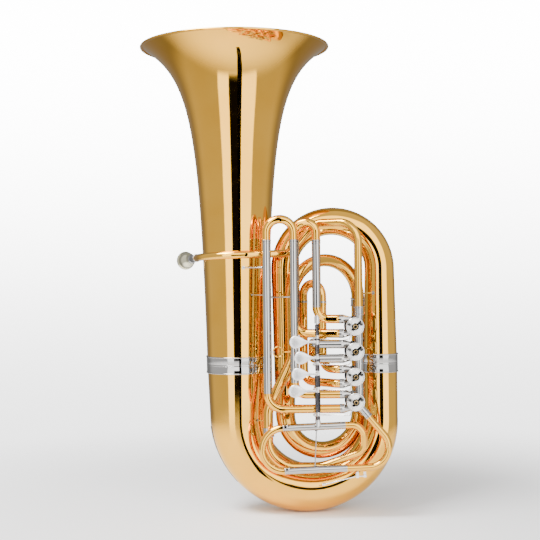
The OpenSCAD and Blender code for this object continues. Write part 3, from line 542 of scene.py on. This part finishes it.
# valve, turn of its loop, distances of its legs, crook's height, depth of the sleeves below it,
# length of the legs inside them, radii of the lower bends, sleeves' material
for k, turn, legs, crook_z, below, insert, radii, mat in (
        (4, 0, (PORT_X + 36.2, PORT_X + 97.7), 655.75, 20, 160, (27, 36), NICKEL),
        (1, 12.5, (47.8, 97.4), 654.8, 20, 120, (27, 27), NICKEL),
        (3, 44, (36, 94.4), 509, 15, 60, (27, 27), BRASS)):
    loop_tubes(k, turn, legs, crook_z - below, radii, mat)
    slide(k, turn, legs, crook_z, below - SLIDE_GAP, insert)

# ---------------------------------------------------------------- receiver and mouthpiece
RECEIVER = [(7.4, 0), (9.4, 0), (9.8, 0.4), (9.8, 2.6), (9.4, 3.2), (8.6, 5), (8.6, 5.6), (8.6, 20),
            (8.6, 35), (8.8, 36), (9.6, 37.4), (10.2, 38.4), (10.4, 39.5), (10.4, 43.5), (10.0, 45),
            (6.85, 45), (6.3, 20), (6.3, 12), (7.4, 10)]
CUP_OUTSIDE = [(4.6, 0), (6.2, 0), (6.75, 24), (7.0, 27), (7.5, 30), (8.0, 34), (8.8, 38), (9.5, 41),
               (10.5, 44), (12.4, 47), (15, 50), (16.8, 54), (18, 58), (18.7, 64), (19, 70), (19.2, 74),
               (19.4, 77)]
CUP_RIM = [(19.7 + 2.6 * math.cos(math.radians(a)), 81 + 4.5 * math.sin(math.radians(a)))
           for a in range(-30, 181, 15)]
CUP_INSIDE = [(16.4, 76), (16, 72), (15.4, 68), (14, 63), (12, 58), (9.5, 54.6), (7, 52), (5, 50), (4.2, 47),
              (4, 42), (4, 30)]
SHANK_IN = 21  # from the leadpipe's end to the end of the mouthpiece's shank
lathe(Shape(), lead_start, blow, RECEIVER, NICKEL, 64).make(
    "receiver_tube", FRAME, "nickel_silver", ("receiver",), 50)
lathe(Shape(), lead_start + SHANK_IN * unit(blow), blow, CUP_OUTSIDE + CUP_RIM + CUP_INSIDE, GILT, 96).make(
    "mouthpiece_cup", "mouthpiece_body", "silver_plate", ("mouthpiece",), 60)

# ---------------------------------------------------------------- valve fronts, paddles and springs
FRONT_Y, PLATE_TOP = -121, 0.5
HINGE = vec(14, -142, 0)
for k in range(1, 5):
    s = Shape()
    face = (VALVE_X, FRONT_Y, valve_z(k))
    ring = [(19.1 + 1.5 * math.cos(a), 0.9 + 1.5 * math.sin(a)) for a in np.linspace(-0.6, math.pi + 0.6, 15)]
    lathe(s, face, (0, -1, 0), ring + [(17.8, -0.2), (20.4, -0.2)], SILVER, 72)
    plate = [(17.6, -0.1), (17.6, 0.35), (17.3, PLATE_TOP)]
    for i in range(10):
        r0 = 17.0 - 0.9 * i
        plate += [(r0, PLATE_TOP), (r0 - 0.3, 0.38), (r0 - 0.6, PLATE_TOP)]
    lathe(s, face, (0, -1, 0), plate + [(8.2, PLATE_TOP), (8.2, -0.1)], SATIN, 72)
    hub = [(0, 3.9), (5.6, 3.9), (7.4, 4.0), (8.3, 3.4), (8.5, 2.6), (8.5, 0.3), (0, 0.3)]
    lathe(s, face, (0, -1, 0), hub, SILVER, 56)
    s.make(f"valve_face_{k}", FRAME, "nickel_silver", (), 40)


def loft(shape, rings, mat):
    """Closed skin over rings of equal count, with a flat cap at each end."""
    seg = len(rings[0])
    verts = [v for ring in rings for v in ring]
    f = grid_faces(len(rings), seg)
    f.append(tuple(range(seg))[::-1])
    f.append(tuple(range((len(rings) - 1) * seg, len(rings) * seg)))
    return shape.add(verts, f, mat)


def coil(shape, centre, radius, wire, z0, z1, mat, seg=8):
    """Coil spring of round wire about an upright axis, with its turns all but touching."""
    turns = max(1, round((z1 - z0) / (COIL_PITCH * wire)))
    count = turns * 24
    a = np.arange(count + 1) * 2 * math.pi * turns / count
    z = np.linspace(z0 + wire, z1 - wire, count + 1)
    path = [vec(centre[0] + radius * math.cos(t), centre[1] + radius * math.sin(t), h) for t, h in zip(a, z)]
    loft(shape, skin(path, wire, seg), mat)


COIL_PITCH = 2.08  # over the wire's radius
SPOON_R, SHANK, NECK, ARM = 14.2, 2.4, 30, 30  # spoon's radius, lever's half width, length of the neck, arm
PRESS = math.radians(22)  # a paddle's travel
BLADE_Y, BLADE_BACK = -4.6, 0.9  # the blade's middle plane from the hinge, its depth behind that plane
LINK_DROP, PIN_R = 28.5, 1.5
# of each paddle: reach and height of its spoon, ends of its hinge tube, ends of the spring wound on it
PADDLES = ((48, 409, 404, 421, (411.7, 416.9)),
           (38, 373.5, 359, 378.5, (363.6, 370.8)),
           (44, 337, 301.6, 341.5, (306.6, 334.2)),
           (51, 299, 244, 301, (249.6, 296.2)))
COILS = ((422, 449), (379.5, 403), (342.5, 358), (233, 243))


def squared(value, power):
    """Bends a sine or cosine outwards, so that a circle drawn with it turns into a rounded square."""
    return math.copysign(abs(value) ** power, value)


def paddle_width(x, reach):
    """Half width of a paddle at x from the hinge; x runs from the tip towards 0."""
    if x < -reach:
        return math.sqrt(max(0.02, SPOON_R ** 2 - (x + reach) ** 2))
    t = min(1, (x + reach) / NECK)
    return SHANK + (SPOON_R - SHANK) * (1 + math.cos(math.pi * t)) / 2


def blade(reach, spoon_z):
    """Rings of a paddle's spoon and lever, flat behind and domed in front."""
    stations = list(-reach - SPOON_R * np.cos(np.linspace(0.02, math.pi / 2, 18)))
    stations += list(np.linspace(-reach, -reach + NECK, 26)[1:]) + list(np.linspace(-reach + NECK, -3, 4)[1:])
    rings = []
    for x in stations:
        w = paddle_width(x, reach)
        crown = 0.55 + 2.1 * (w / SPOON_R) ** 1.3 if w > 0.5 else 0.3
        ring = []
        for a in np.linspace(0, 2 * math.pi, 32, endpoint=False):
            c, q = math.cos(a), math.sin(a)
            out = crown if q > 0 else BLADE_BACK
            ring.append(vec(HINGE[0] + x, HINGE[1] + BLADE_Y - out * q, spoon_z + w * squared(c, 0.85)))
        rings.append(ring)
    return rings


def crank(ux, uy, z):
    """Rings of the arm behind a paddle's hinge, with a rounded end."""
    rings = []
    for y, scale in ((3, 1), (8, 1), (ARM - 1, 1), (ARM + 0.8, 0.9), (ARM + 1.7, 0.65), (ARM + 2, 0.3)):
        ring = []
        for a in np.linspace(0, 2 * math.pi, 20, endpoint=False):
            along = 2 * scale * squared(math.cos(a), 0.4)
            ring.append(vec(HINGE[0] + ux * y + uy * along, HINGE[1] + uy * y - ux * along,
                            z + 1.5 * squared(math.sin(a), 0.4)))
        rings.append(ring)
    return rings


ux, uy = -math.sin(PRESS / 2), math.cos(PRESS / 2)
for k, (reach, spoon_z, low, high, wrap_z) in enumerate(PADDLES, 1):
    s = Shape()
    loft(s, blade(reach, spoon_z), SATIN)
    lathe(s, (HINGE[0], HINGE[1], low), UP, [(2.55, 0), (4.2, 0), (4.6, 0.4), (4.6, high - low - 0.4),
          (4.2, high - low), (2.55, high - low)], SILVER, 40)
    link_z = valve_z(k) - LINK_DROP
    loft(s, crank(ux, uy, link_z + 6), SILVER)
    pin = (HINGE[0] + ux * ARM, HINGE[1] + uy * ARM, link_z - 4.5)
    lathe(s, pin, UP, [(0, 0), (1.1, 0), (PIN_R, 0.4), (PIN_R, 10.5), (0, 10.5)], SILVER, 24)
    s.make(f"paddle_{k}_lever", f"paddle_{k}_body", "silver_plate", (f"paddle_{k}",), 40)
    s = Shape()
    coil(s, HINGE, 5.55, 0.9, wrap_z[0], wrap_z[1], STEEL)
    s.make(f"paddle_{k}_spring_wrap", f"paddle_{k}_body", "spring_steel", (), 60)

s = Shape()
for z0, z1 in COILS:
    coil(s, HINGE, 4.0, 1.25, z0, z1, STEEL, 10)
s.make("paddle_spring_coils", FRAME, "spring_steel", ("paddle_springs",), 60)


# ---------------------------------------------------------------- CAD pieces that stay
MERGE = 0.00002
SHARP = math.radians(30)


def make_smooth_group():
    """Joins the CAD mesh's split corners and shades it smooth, except over its sharp edges."""
    g = bpy.data.node_groups.new("smooth_edges", "GeometryNodeTree")
    g.interface.new_socket("Geometry", in_out="INPUT", socket_type="NodeSocketGeometry")
    g.interface.new_socket("Geometry", in_out="OUTPUT", socket_type="NodeSocketGeometry")
    source, out = g.nodes.new("NodeGroupInput"), g.nodes.new("NodeGroupOutput")
    merge = g.nodes.new("GeometryNodeMergeByDistance")
    merge.inputs["Distance"].default_value = MERGE
    faces = g.nodes.new("GeometryNodeSetShadeSmooth")
    edges = g.nodes.new("GeometryNodeSetShadeSmooth")
    edges.domain = "EDGE"
    edges.inputs["Shade Smooth"].default_value = False
    edge_angle = g.nodes.new("GeometryNodeInputMeshEdgeAngle")
    sharp = g.nodes.new("FunctionNodeCompare")
    sharp.operation = "GREATER_THAN"
    sharp.inputs[1].default_value = SHARP
    g.links.new(source.outputs[0], merge.inputs[0])
    g.links.new(merge.outputs[0], faces.inputs[0])
    g.links.new(faces.outputs[0], edges.inputs[0])
    g.links.new(edge_angle.outputs[0], sharp.inputs[0])
    g.links.new(sharp.outputs[0], edges.inputs["Selection"])
    g.links.new(edges.outputs[0], out.inputs[0])
    return g


smooth_group = make_smooth_group()
slots = {p["node"]: p["material_slot"] for p in frame["record"]["subparts"]}
for name, o in NODES.items():
    if o.hide_render:
        continue
    o.data.materials.clear()
    o.data.materials.append(BY_SLOT[slots[name]])
    if "custom_normal" in o.data.attributes:
        o.data.attributes.remove(o.data.attributes["custom_normal"])
    o.modifiers.new("smooth_edges", "NODES").node_group = smooth_group

# ---------------------------------------------------------------- studio (metres, degrees)
FLOOR_R, FLOOR_DROP, FLOOR_FADE, PAPER = 3.0, 0.0005, (0.5, 1.6), 0.96
# in the world, azimuth 0 is in front of the instrument and grows towards its right
BOX, BOX_HEIGHT, BOX_LIGHT = (-36, 50), (-42, 45), 3.0
SLIT, SLIT_HEIGHT, SLIT_DEPTH = (-12, 13), (-42, 9), 0.998
WALLS, BEHIND, BEHIND_LIGHT = (0.68, 1.02), (100, 135), 0.4  # walls dim towards the instrument's back
BACKDROP, BACKDROP_LOW, BACKDROP_RISE = (-14, 13), 3.15, 12.2  # brightness over elevation, as the camera sees it
FLAG_X, FLAG_Y, FLAG_Z, FLAG_GREY = (-0.120, -0.055), -0.42, (-0.3, 0.95), 0.0005
KEY_AT, KEY_AIM, KEY_SIZE, KEY_WATTS = (-1.2, -0.9, 2.8), (0, 0, 0.4), 1.2, 155


def grey(value):
    return (value, value, value, 1)


def stage_floor():
    """White paper that fades out into the backdrop."""
    mesh = bpy.data.meshes.new("floor")
    bm = bmesh.new()
    bmesh.ops.create_circle(bm, cap_ends=True, segments=96, radius=FLOOR_R)
    bm.to_mesh(mesh)
    bm.free()
    o = bpy.data.objects.new("floor", mesh)
    o.location = (0, 0, -FLOOR_DROP)
    bpy.context.scene.collection.objects.link(o)
    m = bpy.data.materials.new("floor_paper")
    m.use_nodes = True
    n = Nodes(m.node_tree)
    out = n.add("ShaderNodeOutputMaterial")
    diffuse = n.add("ShaderNodeBsdfDiffuse")
    diffuse.inputs[0].default_value = grey(PAPER)
    clear = n.add("ShaderNodeBsdfTransparent")
    mix = n.add("ShaderNodeMixShader")
    pos = n.add("ShaderNodeTexCoord").outputs["Object"]
    length = n.add("ShaderNodeVectorMath", operation="LENGTH")
    n.link(pos, length.inputs[0])
    n.link(n.ramp(length.outputs["Value"], *FLOOR_FADE), mix.inputs[0])
    n.link(diffuse.outputs[0], mix.inputs[1])
    n.link(clear.outputs[0], mix.inputs[2])
    n.link(mix.outputs[0], out.inputs[0])
    mesh.materials.append(m)


def stage_world():
    """A wide soft box with a dark slit in the reflections, and an even backdrop behind the instrument."""
    w = bpy.data.worlds.new("studio")
    w.use_nodes = True
    bpy.context.scene.world = w
    n = Nodes(w.node_tree)
    out = n.add("ShaderNodeOutputWorld")
    xyz = n.add("ShaderNodeSeparateXYZ")
    n.link(n.add("ShaderNodeTexCoord").outputs["Generated"], xyz.inputs[0])
    az = n.math("DEGREES", n.math("ARCTAN2", xyz.outputs[0], n.math("MULTIPLY", xyz.outputs[1], -1.0)))
    el = n.math("DEGREES", n.math("ARCSINE", xyz.outputs[2]))

    def band(value, lo, hi, soft):
        return n.math("MULTIPLY", n.ramp(value, lo - soft, lo + soft),
                      n.ramp(value, hi - soft, hi + soft, 1.0, 0.0))

    side = n.math("ABSOLUTE", az)
    walls = n.math("MULTIPLY", n.ramp(el, -60, 80, *WALLS, False), n.ramp(side, *BEHIND, 1.0, BEHIND_LIGHT))
    box = n.math("MULTIPLY", band(az, *BOX, 2), band(el, *BOX_HEIGHT, 4))
    slit = n.math("MULTIPLY", band(az, *SLIT, 1.2), band(el, *SLIT_HEIGHT, 3))
    lit = n.math("ADD", walls, n.math("MULTIPLY", box, BOX_LIGHT))
    lit = n.math("MULTIPLY", lit, n.math("SUBTRACT", 1.0, n.math("MULTIPLY", slit, SLIT_DEPTH)))
    light = n.add("ShaderNodeBackground")
    light.inputs[0].default_value = grey(1)
    n.link(lit, light.inputs[1])
    seen = n.add("ShaderNodeBackground")
    seen.inputs[0].default_value = grey(1)
    height = n.ramp(el, *BACKDROP)
    rise = n.math("MULTIPLY", BACKDROP_RISE, n.math("MULTIPLY", height, height))
    n.link(n.math("ADD", BACKDROP_LOW, rise), seen.inputs[1])
    path = n.add("ShaderNodeLightPath")
    mix = n.add("ShaderNodeMixShader")
    n.link(path.outputs["Is Camera Ray"], mix.inputs[0])
    n.link(light.outputs[0], mix.inputs[1])
    n.link(seen.outputs[0], mix.inputs[2])
    n.link(mix.outputs[0], out.inputs[0])


def stage_flag():
    """A black card in front of the instrument, seen only in its mirror surfaces."""
    (x0, x1), (z0, z1) = FLAG_X, FLAG_Z
    mesh = bpy.data.meshes.new("black_flag")
    mesh.from_pydata([(x0, FLAG_Y, z0), (x1, FLAG_Y, z0), (x1, FLAG_Y, z1), (x0, FLAG_Y, z1)], [],
                     [(0, 1, 2, 3)])
    o = bpy.data.objects.new("black_flag", mesh)
    bpy.context.scene.collection.objects.link(o)
    m = bpy.data.materials.new("black_paper")
    m.use_nodes = True
    n = Nodes(m.node_tree)
    card = n.add("ShaderNodeBsdfDiffuse")
    card.inputs[0].default_value = grey(FLAG_GREY)
    n.link(card.outputs[0], n.add("ShaderNodeOutputMaterial").inputs[0])
    mesh.materials.append(m)
    o.visible_camera = o.visible_diffuse = o.visible_shadow = False


stage_floor()
stage_flag()
stage_world()
key_data = bpy.data.lights.new("key", "AREA")
key_data.shape, key_data.size, key_data.size_y, key_data.energy = "RECTANGLE", KEY_SIZE, KEY_SIZE, KEY_WATTS
key = bpy.data.objects.new("key", key_data)
key.location = KEY_AT
key.rotation_euler = (Vector(KEY_AIM) - key.location).to_track_quat("-Z", "Y").to_euler()
bpy.context.scene.collection.objects.link(key)

bpy.context.view_layer.update()
